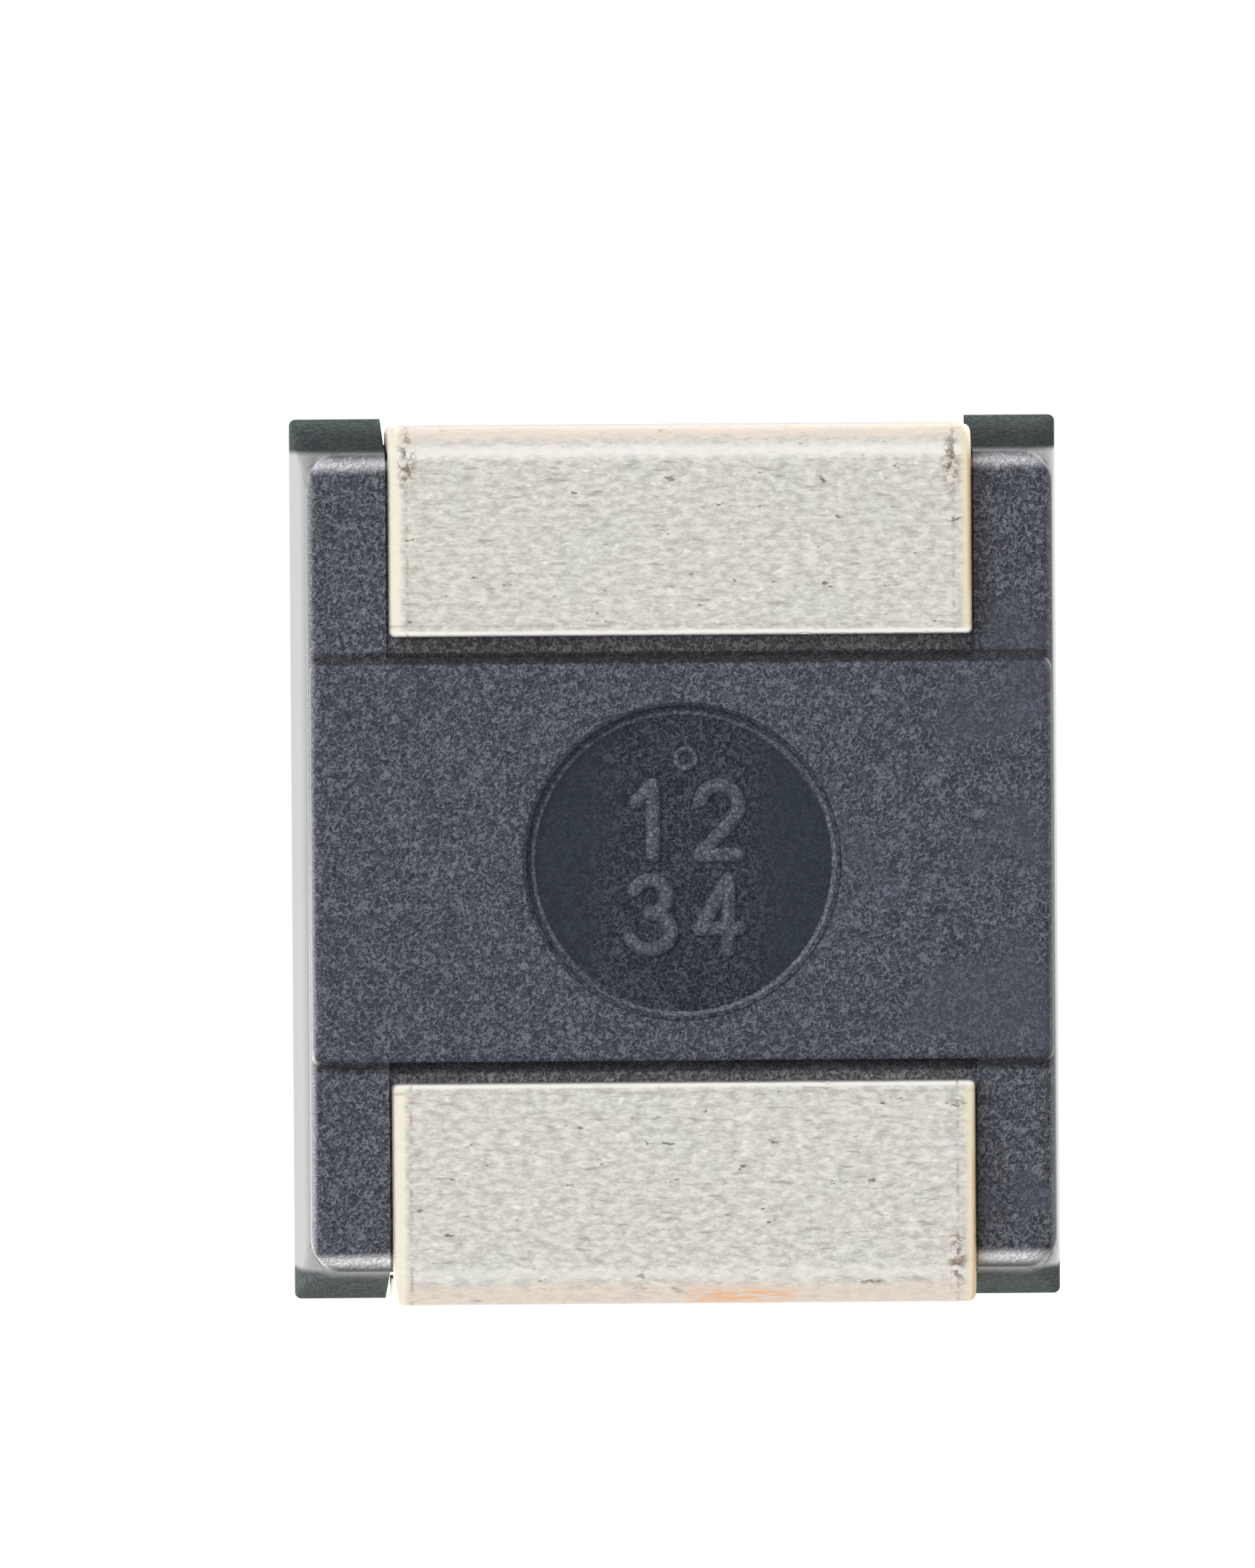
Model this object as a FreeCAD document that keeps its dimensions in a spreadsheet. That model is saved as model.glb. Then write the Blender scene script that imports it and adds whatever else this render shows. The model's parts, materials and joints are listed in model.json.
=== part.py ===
import FreeCAD, Part
import Sketcher
import math
import os
import re

# Surface-mount tantalum capacitor in a moulded case, in millimetres.
# The solder plane is Z = 0 and the origin is at its middle. X runs along the chip,
# with the anode at -X, and Y across it. Both terminals are folded under the case.

# Driving sizes: name, value and what it is.
SIZES = [
    ("overall_length", 3.40, "lower half of the moulding at the parting line"),
    ("case_width", 2.96, "lower half of the moulding at the parting line"),
    ("case_height", 1.90, "solder plane to the moulded top face"),
    ("parting_height", 1.10, "solder plane to the parting line"),
    ("cathode_inset", 0.025, "cathode's outer face behind the parting line"),
    ("end_draft_run", 0.135, "how far a lower end wall leans in on its way down"),
    ("side_draft_run", 0.048, "how far a lower side wall leans in on its way down"),
    ("ledge_at_end", 0.10, "upper half set back from the lower half at the ends"),
    ("ledge_at_side", 0.04, "upper half set back from the lower half at the sides"),
    ("top_end_run", 0.035, "how far an upper end wall leans in on its way up"),
    ("top_side_run", 0.09, "how far an upper side wall leans in on its way up"),
    ("parting_corner", 0.025, "corner radius of both halves at the parting line"),
    ("sole_corner", 0.13, "corner radius of the solder side"),
    ("top_corner", 0.05, "corner radius of the top face"),
    ("sole_edge", 0.05, "rounding round the solder side"),
    ("top_edge", 0.02, "rounding round the top face"),
    ("sole_height", 0.09, "moulded solder side above the board"),
    ("standoff", 0.05, "raised land above the board"),
    ("land_end_gap", 0.055, "land's base behind the inner end of the anode's foot"),
    ("land_side_gap", 0.006, "land's side inside the side wall"),
    ("land_root", 0.12, "land carried up into the moulding"),
    ("land_corner", 0.06, "corner radius of the land"),
    ("land_edge", 0.04, "rounding round the land"),
    ("land_slope", 35.0, "lean of the land's flanks, in degrees"),
    ("recess_diameter", 1.20, "round ejector recess in the land"),
    ("recess_depth", 0.035, "depth of the recess"),
    ("recess_slope", 30.0, "lean of the recess wall, in degrees"),
    ("lead_thickness", 0.10, "lead-frame strip"),
    ("terminal_width", 2.24, "leg and solder foot"),
    ("neck_width", 1.78, "strip where it leaves the case"),
    ("anode_foot_length", 0.855, "solder foot with its bend"),
    ("cathode_foot_length", 0.805, "solder foot with its bend"),
    ("bend_radius", 0.03, "inside radius of every fold"),
    ("edge_roll", 0.03, "stamped edges rolled over on the outer face"),
    ("lip_roll", 0.02, "rolled edge at the foot's inner end"),
    ("shoulder_drop", 0.02, "straight neck below the upper bend"),
    ("shoulder_height", 0.24, "slope from the neck out to the full width"),
    ("bed_side_gap", 0.010, "lead bed wider than the terminal, each side"),
    ("bed_floor_gap", 0.01, "lead bed above the solder foot"),
    ("bed_end_gap", 0.08, "lead bed past the foot's inner end"),
    ("inner_tab_width", 1.30, "both inner tabs"),
    ("neck_anchor", 0.22, "full neck width kept inside the case"),
    ("cathode_tab_cover", 1.00, "cathode tab laid over the pellet"),
    ("wire_diameter", 0.20, "riser wire"),
    ("wire_flat", 0.012, "coined flat where the wire meets the tab"),
    ("wire_end_inset", 0.28, "wire's end behind the terminal's outer face"),
    ("wire_bedded", 0.60, "wire inside the pellet"),
    ("weld_radius", 0.085, "weld bead at the tab's end"),
    ("bare_wire", 0.145, "wire left bare between the weld bead and the washer"),
    ("anode_space", 0.94, "sintered block behind the anode's outer face"),
    ("cathode_space", 0.62, "sintered block behind the cathode's outer face"),
    ("side_space", 0.425, "sintered block inside the case at the parting line"),
    ("pellet_height", 1.04, "sintered block"),
    ("pellet_corner", 0.08, "rounded edges of the block"),
    ("polymer_coat", 0.03, "thickness of the cathode polymer"),
    ("carbon_coat", 0.02, "thickness of the carbon"),
    ("silver_coat", 0.03, "thickness of the silver"),
    ("coat_margin", 0.14, "carbon and silver stop short of the anode face"),
    ("washer_diameter", 0.62, "insulating washer"),
    ("washer_thickness", 0.09, "insulating washer"),
    ("adhesive_thickness", 0.03, "silver adhesive under the tab and behind it"),
    ("adhesive_margin", 0.06, "adhesive inside the edges of the tab"),
    ("adhesive_drop", 0.55, "adhesive down the pellet's end"),
    ("mark_depth", 0.008, "polarity bar, level with the top face"),
    ("mark_length", 1.33, "polarity bar along the chip"),
    ("mark_end_margin", 0.15, "polarity bar from the end of the top face"),
    ("mark_side_margin", 0.21, "polarity bar from the sides of the top face"),
]

doc = FreeCAD.newDocument("tantalum_capacitor")
sheet = doc.addObject("Spreadsheet::Sheet", "Sizes")
for row, (name, number, meaning) in enumerate(SIZES, start=1):
    sheet.set(f"A{row}", name)
    sheet.set(f"B{row}", str(number))
    sheet.set(f"C{row}", meaning)
    sheet.setAlias(f"B{row}", name)
doc.recompute()

NAMES = {name for name, number, meaning in SIZES}

# Sizes that follow from the driving ones, as formulas on the sheet's names.
HALF = "overall_length / 2"
CATHODE_OUTER = "(overall_length / 2 - cathode_inset)"
BED_FLOOR = "(lead_thickness + bed_floor_gap)"
NECK_UNDER = "(parting_height - lead_thickness)"
OUTER_BEND = "(lead_thickness + bend_radius)"
SOLE_LENGTH = "(overall_length - 2 * end_draft_run)"
SOLE_WIDTH = "(case_width - 2 * side_draft_run)"
UPPER_LENGTH = "(overall_length - 2 * ledge_at_end)"
UPPER_WIDTH = "(case_width - 2 * ledge_at_side)"
TOP_LENGTH = f"({UPPER_LENGTH} - 2 * top_end_run)"
TOP_WIDTH = f"({UPPER_WIDTH} - 2 * top_side_run)"
LAND_LENGTH = "(overall_length - 2 * anode_foot_length - 2 * land_end_gap)"
SIDE_LEAN = "(side_draft_run / (parting_height - sole_height))"
WIRE_AXIS = f"({NECK_UNDER} - wire_diameter / 2 + wire_flat)"
ANODE_FACE = "(anode_space - overall_length / 2)"
PELLET_LENGTH = "(overall_length - anode_space - cathode_space)"
PELLET_WIDTH = "(case_width - 2 * side_space)"
ANODE_TAB = "(anode_space - washer_thickness - bare_wire - weld_radius)"
ALL_COATS = "(polymer_coat + carbon_coat + silver_coat)"
SILVER_END = f"(overall_length / 2 - cathode_space + {ALL_COATS})"
SILVER_TOP = f"({WIRE_AXIS} + pellet_height / 2 + {ALL_COATS})"
STEP_FACE = f"({SILVER_END} + adhesive_thickness)"
TAB_UNDER = f"({SILVER_TOP} + adhesive_thickness)"
TAB_END = f"({STEP_FACE} - cathode_tab_cover)"


def on_sheet(formula):
    """The same formula with each size's name pointing at its cell."""
    def as_cell(word):
        return f"Sizes.{word[0]}" if word[0] in NAMES else word[0]

    return re.sub(r"[a-z_]+", as_cell, str(formula))


def value(formula):
    return float(sheet.evalExpression(on_sheet(formula)))


def bind(thing, path, formula):
    thing.setExpression(path, on_sheet(formula))


def new_body(name):
    return doc.addObject("PartDesign::Body", name)


def new_sketch(body, name, plane, height="0"):
    """A sketch on one of the body's own origin planes, moved off it by height."""
    sketch = body.newObject("Sketcher::SketchObject", name)
    support = next(item for item in body.Origin.OriginFeatures if item.Role == plane)
    sketch.AttachmentSupport = [(support, "")]
    sketch.MapMode = "FlatFace"
    sketch.AttachmentOffset = FreeCAD.Placement(FreeCAD.Vector(0, 0, value(height)), FreeCAD.Rotation())
    if height != "0":
        bind(sketch, "AttachmentOffset.Base.z", height)
    return sketch


def pin_point(sketch, element, corner, across, along):
    """Hold one point of the sketch at two formulas from the origin."""
    for kind, formula in (("DistanceX", across), ("DistanceY", along)):
        number = sketch.addConstraint(Sketcher.Constraint(kind, -1, 1, element, corner, value(formula)))
        bind(sketch, f"Constraints[{number}]", formula)


def draw_outline(sketch, corners):
    """A closed outline of straight lines through corners given as formulas."""
    points = [FreeCAD.Vector(value(across), value(along), 0) for across, along in corners]
    first = sketch.GeometryCount
    count = len(points)
    for number, point in enumerate(points):
        sketch.addGeometry(Part.LineSegment(point, points[(number + 1) % count]), False)
    for number in range(count):
        after = first + (number + 1) % count
        sketch.addConstraint(Sketcher.Constraint("Coincident", first + number, 2, after, 1))
    for number, (across, along) in enumerate(corners):
        pin_point(sketch, first + number, 1, across, along)


def draw_circle(sketch, across, along, diameter):
    middle = FreeCAD.Vector(value(across), value(along), 0)
    circle = Part.Circle(middle, FreeCAD.Vector(0, 0, 1), value(diameter) / 2)
    element = sketch.addGeometry(circle, False)
    pin_point(sketch, element, 3, across, along)
    held = sketch.addConstraint(Sketcher.Constraint("Radius", element, value(diameter) / 2))
    bind(sketch, f"Constraints[{held}]", f"{diameter} / 2")


def extrude(body, kind, name, sketch, length, both_ways=False, backwards=False):
    """A Pad or a Pocket, and a test that it really added or removed material."""
    before = body.Shape.Volume if body.Tip and not body.Shape.isNull() else 0.0
    feature = body.newObject(f"PartDesign::{kind}", name)
    feature.Profile = sketch
    feature.SideType = "Symmetric" if both_ways else "One side"
    feature.Reversed = backwards
    bind(feature, "Length", length)
    doc.recompute()
    change = feature.Shape.Volume - before
    if (change <= 0) if kind == "Pad" else (change >= 0):
        raise RuntimeError(f"{name} changed the volume by {change}")
    return feature


def edges_where(shape, test):
    """Names of the edges for which test says yes to both ends and the middle."""
    names = []
    for number, edge in enumerate(shape.Edges, start=1):
        middle = edge.valueAt((edge.FirstParameter + edge.LastParameter) / 2)
        spots = [vertex.Point for vertex in edge.Vertexes] + [middle]
        if all(test(spot) for spot in spots):
            names.append(f"Edge{number}")
    return names


def round_edges(body, name, base, radius, test):
    """Fillet the edges of base that lie where test says."""
    names = edges_where(base.Shape, test)
    if not names:
        raise RuntimeError(f"{name} found no edge")
    feature = body.newObject("PartDesign::Fillet", name)
    feature.Base = (base, names)
    bind(feature, "Radius", radius)
    doc.recompute()
    return feature


def close(first, second):
    return abs(first - second) < 1e-5


def fold(body, name, base, radius, corner_x, corner_z):
    """Round one fold line of a strip, an edge along Y through the given corner."""
    where_x, where_z = value(corner_x), value(corner_z)
    return round_edges(body, name, base, radius, lambda p: close(p.x, where_x) and close(p.z, where_z))


def boolean(kind, name, base, tool):
    feature = doc.addObject(f"Part::{kind}", name)
    feature.Base = base
    feature.Tool = tool
    feature.Refine = True
    doc.recompute()
    return feature


# Lead frame strips.


def bed_end(outer):
    """Where the flat of the leg's channel lies, inside the bend of the strip."""
    return f"({outer} - lead_thickness - bend_radius)"


def narrow_strip(body, side, width, start, stop, lowest):
    """Cut a strip down to width between two distances from the middle of the chip."""
    sketch = new_sketch(body, f"{body.Name}_{width}_cut", "XY_Plane", lowest)
    for edge in (1, -1):
        corners = [
            (f"{side} * {start}", f"{edge} * {width} / 2"),
            (f"{side} * {stop}", f"{edge} * {width} / 2"),
            (f"{side} * {stop}", f"{edge} * terminal_width"),
            (f"{side} * {start}", f"{edge} * terminal_width"),
        ]
        draw_outline(sketch, corners)
    return extrude(body, "Pocket", f"{body.Name}_{width}", sketch, "2 * case_height", backwards=True)


def cut_shoulders(body, side, outer):
    """Slope the leg from the narrow neck out to the full terminal width."""
    top_of_slope = "(parting_height - lead_thickness - bend_radius - shoulder_drop)"
    foot_of_slope = "(parting_height - lead_thickness - bend_radius - shoulder_drop - shoulder_height)"
    sketch = new_sketch(body, f"{body.Name}_shoulders", "YZ_Plane", f"{side} * {bed_end(outer)}")
    for edge in (1, -1):
        corners = [
            (f"{edge} * neck_width / 2", top_of_slope),
            (f"{edge} * terminal_width / 2", foot_of_slope),
            (f"{edge} * terminal_width", foot_of_slope),
            (f"{edge} * terminal_width", "case_height"),
            (f"{edge} * neck_width / 2", "case_height"),
        ]
        draw_outline(sketch, corners)
    # The cut runs outwards from the case, through the leg only.
    return extrude(body, "Pocket", f"{body.Name}_neck", sketch, f"2 * {OUTER_BEND}", backwards=(side > 0))


def roll_edges(body, base, side, outer_face, foot_end):
    """Round the outer edges of the leg and the foot, as stamping leaves them."""
    half_width = value("terminal_width / 2")
    inner_end, outer = value(foot_end), value(outer_face)
    bend = value(OUTER_BEND)
    leg_top = value(f"{NECK_UNDER} - bend_radius - shoulder_drop - shoulder_height")

    def on_outer_skin(point):
        if not close(abs(point.y), half_width) or point.z > leg_top + 1e-6:
            return False
        across = side * point.x
        on_foot = close(point.z, 0.0)
        on_leg = close(across, outer)
        centre = outer - bend
        on_arc = close(math.hypot(across - centre, point.z - bend), bend)
        in_bend = on_arc and across > centre - 1e-6
        return on_foot or on_leg or in_bend

    sides = round_edges(body, f"{body.Name}_edge_roll", base, "edge_roll", on_outer_skin)
    return round_edges(
        body,
        f"{body.Name}_lip_roll",
        sides,
        "lip_roll",
        lambda p: close(p.z, 0.0) and close(side * p.x, inner_end),
    )


def make_anode_terminal():
    body = new_body("anode_terminal")
    side = -1
    inner_end = f"({HALF} - {ANODE_TAB})"
    foot_end = f"({HALF} - anode_foot_length)"
    channel = bed_end(HALF)
    sketch = new_sketch(body, "anode_profile", "XZ_Plane")
    corners = [
        (f"-{foot_end}", "0"),
        (f"-{HALF}", "0"),
        (f"-{HALF}", "parting_height"),
        (f"-{inner_end}", "parting_height"),
        (f"-{inner_end}", NECK_UNDER),
        (f"-({HALF} - lead_thickness)", NECK_UNDER),
        (f"-({HALF} - lead_thickness)", "lead_thickness"),
        (f"-{foot_end}", "lead_thickness"),
    ]
    draw_outline(sketch, corners)
    strip = extrude(body, "Pad", "anode_strip", sketch, "terminal_width", both_ways=True)
    shape = fold(body, "anode_foot_out", strip, OUTER_BEND, f"-{HALF}", "0")
    shape = fold(body, "anode_foot_in", shape, "bend_radius", f"-({HALF} - lead_thickness)", "lead_thickness")
    shape = fold(body, "anode_neck_out", shape, OUTER_BEND, f"-{HALF}", "parting_height")
    shape = fold(body, "anode_neck_in", shape, "bend_radius", f"-({HALF} - lead_thickness)", NECK_UNDER)
    above_foot = "(lead_thickness + parting_height) / 2"
    narrow_strip(body, side, "neck_width", "0", channel, above_foot)
    narrow_strip(body, side, "inner_tab_width", "0", f"({channel} - neck_anchor)", above_foot)
    shape = cut_shoulders(body, side, HALF)
    roll_edges(body, shape, side, HALF, foot_end)
    return body


def make_cathode_terminal():
    body = new_body("cathode_terminal")
    side = 1
    outer = CATHODE_OUTER
    foot_end = f"({outer} - cathode_foot_length)"
    channel = bed_end(outer)
    sketch = new_sketch(body, "cathode_profile", "XZ_Plane")
    step_back = f"({STEP_FACE} + lead_thickness)"
    tab_top = f"({TAB_UNDER} + lead_thickness)"
    corners = [
        (foot_end, "0"),
        (outer, "0"),
        (outer, "parting_height"),
        (step_back, "parting_height"),
        (step_back, tab_top),
        (TAB_END, tab_top),
        (TAB_END, TAB_UNDER),
        (STEP_FACE, TAB_UNDER),
        (STEP_FACE, NECK_UNDER),
        (f"{outer} - lead_thickness", NECK_UNDER),
        (f"{outer} - lead_thickness", "lead_thickness"),
        (foot_end, "lead_thickness"),
    ]
    draw_outline(sketch, corners)
    strip = extrude(body, "Pad", "cathode_strip", sketch, "terminal_width", both_ways=True)
    shape = fold(body, "cathode_foot_out", strip, OUTER_BEND, outer, "0")
    shape = fold(body, "cathode_foot_in", shape, "bend_radius", f"{outer} - lead_thickness", "lead_thickness")
    shape = fold(body, "cathode_neck_out", shape, OUTER_BEND, outer, "parting_height")
    shape = fold(body, "cathode_neck_in", shape, "bend_radius", f"{outer} - lead_thickness", NECK_UNDER)
    shape = fold(body, "cathode_step_foot_in", shape, "bend_radius", step_back, "parting_height")
    shape = fold(body, "cathode_step_foot_out", shape, OUTER_BEND, STEP_FACE, NECK_UNDER)
    shape = fold(body, "cathode_step_top_out", shape, OUTER_BEND, step_back, tab_top)
    shape = fold(body, "cathode_step_top_in", shape, "bend_radius", STEP_FACE, TAB_UNDER)
    above_foot = "(lead_thickness + parting_height) / 2"
    narrow_strip(body, side, "neck_width", "-case_height", channel, above_foot)
    narrow_strip(body, side, "inner_tab_width", "-case_height", f"({channel} - neck_anchor)", above_foot)
    shape = cut_shoulders(body, side, outer)
    roll_edges(body, shape, side, outer, foot_end)
    return body


# Capacitor element.


def rounded_block(name, start, length, width, height, radius):
    """A block along X from start, centred on the wire's axis, with rounded edges."""
    body = new_body(name)
    sketch = new_sketch(body, f"{name}_section", "YZ_Plane", start)
    low, high = f"({WIRE_AXIS} - {height} / 2)", f"({WIRE_AXIS} + {height} / 2)"
    corners = [
        (f"-{width} / 2", low),
        (f"{width} / 2", low),
        (f"{width} / 2", high),
        (f"-{width} / 2", high),
    ]
    draw_outline(sketch, corners)
    block = extrude(body, "Pad", f"{name}_block", sketch, length)
    far = value(f"{start} + {length}")
    names = []
    for number, edge in enumerate(block.Shape.Edges, start=1):
        ends = [vertex.Point for vertex in edge.Vertexes]
        lengthwise = not close(ends[0].x, ends[1].x)
        at_far_end = all(close(point.x, far) for point in ends)
        if lengthwise or at_far_end:
            names.append(f"Edge{number}")
    feature = body.newObject("PartDesign::Fillet", f"{name}_rounding")
    feature.Base = (block, names)
    bind(feature, "Radius", radius)
    doc.recompute()
    return body


def make_element():
    """The sintered block and the coats dipped over it, each fitting the one inside."""
    start = ANODE_FACE
    pellet = rounded_block(
        "pellet_block", start, PELLET_LENGTH, PELLET_WIDTH, "pellet_height", "pellet_corner"
    )
    thickness = ""
    coats = []
    begin = f"({start} - polymer_coat)"
    for layer in ("polymer", "carbon", "silver"):
        thickness += f" + {layer}_coat"
        total = f"(0{thickness})"
        length = f"({start} + {PELLET_LENGTH} + {total} - {begin})"
        coats.append(
            rounded_block(
                f"{layer}_block",
                begin,
                length,
                f"({PELLET_WIDTH} + 2 * {total})",
                f"(pellet_height + 2 * {total})",
                f"(pellet_corner + {total})",
            )
        )
        begin = f"({start} + coat_margin)"
    return pellet, coats


def make_wire():
    """Riser wire: round, with a flat coined on top where it lies under the tab."""
    body = new_body("anode_wire")
    length = f"({HALF} - wire_end_inset + {ANODE_FACE} + wire_bedded)"
    start = f"-({HALF} - wire_end_inset)"
    sketch = new_sketch(body, "wire_section", "YZ_Plane", start)
    draw_circle(sketch, "0", WIRE_AXIS, "wire_diameter")
    extrude(body, "Pad", "wire_length", sketch, length)
    flat = new_sketch(body, "wire_flat_side", "XZ_Plane")
    tab_end = f"-({HALF} - {ANODE_TAB})"
    corners = [
        (f"-{HALF}", NECK_UNDER),
        (tab_end, NECK_UNDER),
        (tab_end, "case_height"),
        (f"-{HALF}", "case_height"),
    ]
    draw_outline(flat, corners)
    extrude(body, "Pocket", "wire_coined", flat, "2 * wire_diameter", both_ways=True)
    return body


def make_washer_disc(name, diameter):
    """A disc on the wire's axis against the block's anode face."""
    body = new_body(name)
    sketch = new_sketch(body, f"{name}_outline", "YZ_Plane", f"({ANODE_FACE} - washer_thickness)")
    draw_circle(sketch, "0", WIRE_AXIS, diameter)
    extrude(body, "Pad", f"{name}_disc", sketch, "washer_thickness")
    return body


def make_weld_ball():
    ball = doc.addObject("Part::Sphere", "weld_ball")
    bind(ball, "Radius", "weld_radius")
    bind(ball, "Placement.Base.x", f"-({HALF} - {ANODE_TAB})")
    bind(ball, "Placement.Base.z", NECK_UNDER)
    return ball


def make_adhesive_block():
    """A block over the pellet's cathode corner, from which the coats are then cut."""
    block = doc.addObject("Part::Box", "adhesive_block")
    begin = f"({TAB_END} + adhesive_margin)"
    low = f"({TAB_UNDER} - adhesive_drop)"
    width = "(inner_tab_width - 2 * adhesive_margin)"
    bind(block, "Length", f"{STEP_FACE} - {begin}")
    bind(block, "Width", width)
    bind(block, "Height", "adhesive_drop")
    bind(block, "Placement.Base.x", begin)
    bind(block, "Placement.Base.y", f"-{width} / 2")
    bind(block, "Placement.Base.z", low)
    return block


# Moulded case.


def drafted_block(name, low, high, low_length, low_width, high_length, high_width):
    """A block between two levels whose four walls lean, with rounded corners between them."""
    block = doc.addObject("Part::Wedge", f"{name}_block")
    # The wedge's own Y is its height, so a quarter turn about X stands it up.
    block.Placement = FreeCAD.Placement(FreeCAD.Vector(), FreeCAD.Rotation(FreeCAD.Vector(1, 0, 0), 90))
    bind(block, "Ymin", low)
    bind(block, "Ymax", high)
    for path, formula in (("X", low_length), ("Z", low_width), ("X2", high_length), ("Z2", high_width)):
        bind(block, f"{path}min", f"-{formula} / 2")
        bind(block, f"{path}max", f"{formula} / 2")
    doc.recompute()
    return block


def round_corners(name, block, low, low_radius, high_radius):
    """Round the four leaning corners with a radius that changes from bottom to top."""
    level = value(low)
    rounded = doc.addObject("Part::Fillet", f"{name}_corners")
    rounded.Base = block
    radii = []
    for number, edge in enumerate(block.Shape.Edges, start=1):
        if close(edge.Vertexes[0].Z, edge.Vertexes[1].Z):
            continue
        starts_low = close(edge.valueAt(edge.FirstParameter).z, level)
        first, last = (low_radius, high_radius) if starts_low else (high_radius, low_radius)
        radii.append((number, value(first), value(last)))
    rounded.Edges = radii
    doc.recompute()
    return rounded


def body_from(name, solid):
    body = new_body(name)
    body.BaseFeature = solid
    doc.recompute()
    return body


def make_lower_half():
    block = drafted_block(
        "lower", "sole_height", "parting_height", SOLE_LENGTH, SOLE_WIDTH, "overall_length", "case_width"
    )
    corners = round_corners("lower", block, "sole_height", "sole_corner", "parting_corner")
    sole = body_from("case_sole", corners)
    sole_level = value("sole_height")
    round_edges(sole, "sole_rounding", sole.Tip, "sole_edge", lambda p: close(p.z, sole_level))
    body = body_from("case_lower", boolean("Fuse", "sole_with_land", sole, make_land()))
    cut_recess(body)
    cut_lead_bed(body, 1, "cathode", CATHODE_OUTER)
    cut_lead_bed(body, -1, "anode", HALF)
    return body


def make_land():
    """The raised middle of the solder side, from side wall to side wall."""
    root_level = "(sole_height + land_root)"
    end_lean = "tan(land_slope * 1deg)"
    low_length = f"({LAND_LENGTH} - 2 * (sole_height - standoff) * {end_lean})"
    high_length = f"({LAND_LENGTH} + 2 * land_root * {end_lean})"
    low_width = f"({SOLE_WIDTH} - 2 * land_side_gap - 2 * (sole_height - standoff) * {SIDE_LEAN})"
    high_width = f"({SOLE_WIDTH} - 2 * land_side_gap + 2 * land_root * {SIDE_LEAN})"
    block = drafted_block(
        "land", "standoff", root_level, low_length, low_width, high_length, high_width
    )
    corners = round_corners("land", block, "standoff", "land_corner", "land_corner")
    body = body_from("case_land", corners)
    land_level = value("standoff")
    round_edges(body, "land_rounding", body.Tip, "land_edge", lambda p: close(p.z, land_level))
    return body


def cut_recess(body):
    """The round mark of the ejector pin: a shallow dish with a leaning wall."""
    profile = new_sketch(body, "recess_profile", "XZ_Plane")
    floor_level = "(standoff + recess_depth)"
    corners = [
        ("0", "0"),
        ("recess_diameter / 2", "0"),
        ("recess_diameter / 2", "standoff"),
        ("recess_diameter / 2 - recess_depth * tan(recess_slope * 1deg)", floor_level),
        ("0", floor_level),
    ]
    draw_outline(profile, corners)
    before = body.Shape.Volume
    feature = body.newObject("PartDesign::Groove", "recess")
    feature.Profile = profile
    feature.ReferenceAxis = (profile, ["V_Axis"])
    feature.Angle = 360
    doc.recompute()
    if feature.Shape.Volume >= before:
        raise RuntimeError("the recess cut nothing")
    return feature


def cut_lead_bed(body, side, name, outer):
    """The hollow that the leg and the foot fold into, open below and at the end."""
    sketch = new_sketch(body, f"{name}_bed_profile", "XZ_Plane")
    bed_start = f"({outer} - {name}_foot_length - bed_end_gap)"
    channel = bed_end(outer)
    corners = [
        (f"{side} * {bed_start}", BED_FLOOR),
        (f"{side} * {channel}", BED_FLOOR),
        (f"{side} * {channel}", "parting_height"),
        (f"{side} * overall_length", "parting_height"),
        (f"{side} * overall_length", "-parting_height"),
        (f"{side} * {bed_start}", "-parting_height"),
    ]
    draw_outline(sketch, corners)
    width = "terminal_width + 2 * bed_side_gap"
    return extrude(body, "Pocket", f"{name}_bed", sketch, width, both_ways=True)


def make_upper_half():
    block = drafted_block(
        "upper", "parting_height", "case_height", UPPER_LENGTH, UPPER_WIDTH, TOP_LENGTH, TOP_WIDTH
    )
    corners = round_corners("upper", block, "parting_height", "parting_corner", "top_corner")
    body = body_from("case_upper", corners)
    top_level = value("case_height")
    round_edges(body, "top_rounding", body.Tip, "top_edge", lambda p: close(p.z, top_level))
    return body


def make_mark():
    """Polarity bar: a thin skin across the top at the anode end."""
    body = new_body("polarity_mark")
    sketch = new_sketch(body, "mark_outline", "XY_Plane", "case_height - mark_depth")
    far = f"({TOP_LENGTH} / 2 - mark_end_margin)"
    half_width = f"({TOP_WIDTH} / 2 - mark_side_margin)"
    corners = [
        (f"-{far}", f"-{half_width}"),
        (f"-{far} + mark_length", f"-{half_width}"),
        (f"-{far} + mark_length", half_width),
        (f"-{far}", half_width),
    ]
    draw_outline(sketch, corners)
    extrude(body, "Pad", "mark_skin", sketch, "mark_depth")
    return body


# Assembly of the pieces, from the inside out.
anode_terminal = make_anode_terminal()
cathode_terminal = make_cathode_terminal()
anode_wire = make_wire()
pellet_block, (polymer_block, carbon_block, silver_block) = make_element()
washer_disc = make_washer_disc("washer_disc", "washer_diameter")
polarity_mark = make_mark()

tantalum_pellet = boolean("Cut", "tantalum_pellet", pellet_block, anode_wire)
insulating_washer = boolean("Cut", "insulating_washer", washer_disc, anode_wire)
polymer_shell = boolean("Cut", "polymer_shell", polymer_block, pellet_block)
polymer_layer = boolean("Cut", "polymer_layer", polymer_shell, washer_disc)
carbon_layer = boolean("Cut", "carbon_layer", carbon_block, polymer_block)
silver_layer = boolean("Cut", "silver_layer", silver_block, carbon_block)
adhesive_rest = boolean("Cut", "adhesive_rest", make_adhesive_block(), silver_block)
silver_adhesive = boolean("Cut", "silver_adhesive", adhesive_rest, cathode_terminal)
weld_rest = boolean("Cut", "weld_rest", make_weld_ball(), anode_terminal)
wire_weld = boolean("Cut", "wire_weld", weld_rest, anode_wire)

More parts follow.
